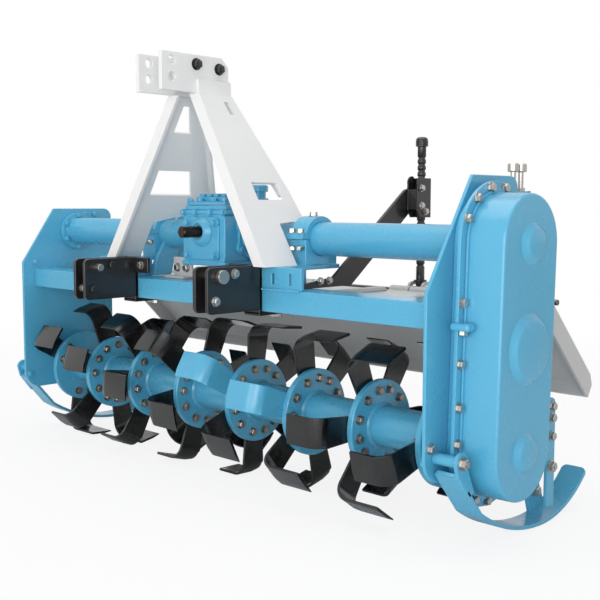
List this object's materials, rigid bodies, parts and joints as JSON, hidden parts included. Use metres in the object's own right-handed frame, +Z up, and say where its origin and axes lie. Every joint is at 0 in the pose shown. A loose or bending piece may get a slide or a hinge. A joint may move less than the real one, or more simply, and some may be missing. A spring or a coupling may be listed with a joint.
{
  "type": "rotary tiller",
  "caption": "Three-point-hitch rotary tiller: bladed rotor under a hood, side gear case, central gearbox, A-shaped mast, curved skids and a hinged trailing board.",
  "frame": {"origin": "on the ground, at the middle of the machine's footprint, at the height of the lowest blade tips", "axes": "+X along the rotor towards the side gear case, -Y to the tractor (front), +Z up"},
  "size_m": [2.0026, 0.8814, 1.25],
  "materials": {
    "blue_paint": "gloss sky-blue paint",
    "white_paint": "satin off-white paint",
    "grey_paint": "satin light-grey paint",
    "black_paint": "gloss black paint",
    "bare_steel": "bare machined steel"
  },
  "bodies": {
    "frame": {"cross_tube_left": "blue_paint", "cross_tube_right": "blue_paint", "gear_case": "blue_paint", "gear_case_rim": "blue_paint", "gear_train": "bare_steel", "gearbox_bearing_cap": "blue_paint", "gearbox_cover": "blue_paint", "gearbox_housing": "blue_paint", "hinge_rod": "bare_steel", "hitch_bracket_left": "black_paint", "hitch_bracket_right": "black_paint", "hitch_pin_left": "bare_steel", "hitch_pin_right": "bare_steel", "left_side_plate": "blue_paint", "main_beam": "blue_paint", "mast_clevis_left": "white_paint", "mast_clevis_right": "white_paint", "mast_leg_left": "white_paint", "mast_leg_right": "white_paint", "mast_tie": "white_paint", "right_side_plate": "blue_paint", "rotor_bearing_left": "blue_paint", "rotor_bearing_right": "blue_paint", "rotor_hood": "grey_paint", "skid_left": "blue_paint", "skid_right": "blue_paint", "strut_arm": "black_paint", "strut_block": "black_paint", "tube_cap_left": "blue_paint", "tube_cap_right": "blue_paint", "tube_saddle_left": "blue_paint", "tube_saddle_right": "blue_paint"},
    "rotor": {"rotor_tube": "blue_paint", "blade_gang_1": "black_paint", "blade_gang_2": "black_paint", "blade_gang_3": "black_paint", "blade_gang_4": "black_paint", "blade_gang_5": "black_paint", "blade_gang_6": "black_paint", "blade_gang_7": "black_paint", "blade_gang_8": "black_paint"},
    "input": {"input_shaft": "bare_steel"},
    "board": {"trailing_board": "grey_paint"},
    "strut": {"strut_rod": "black_paint"}
  },
  "joints": [
    {"name": "rotor_spin", "type": "hinge", "parent": "frame", "child": "rotor", "pos_m": [-0.0483, -0.08473, 0.23796], "axis": [1, 0, 0], "continuous": true},
    {"name": "input_spin", "type": "hinge", "parent": "frame", "child": "input", "pos_m": [-0.0483, -0.23473, 0.74496], "axis": [0, 1, 0], "continuous": true},
    {"name": "board_hinge", "type": "hinge", "parent": "frame", "child": "board", "pos_m": [-0.0483, 0.20527, 0.57196], "axis": [1, 0, 0], "range_deg": [-28, 28]},
    {"name": "strut_slide", "type": "slide", "parent": "frame", "child": "strut", "axis": [0, 0, 1], "range_m": [-0.054, 0.054]}
  ],
  "couplings": [
    {"joint": "input_spin", "follows": "rotor_spin", "ratio": -2.45},
    {"joint": "strut_slide", "follows": "board_hinge", "m_per_rad": 0.1085}
  ]
}
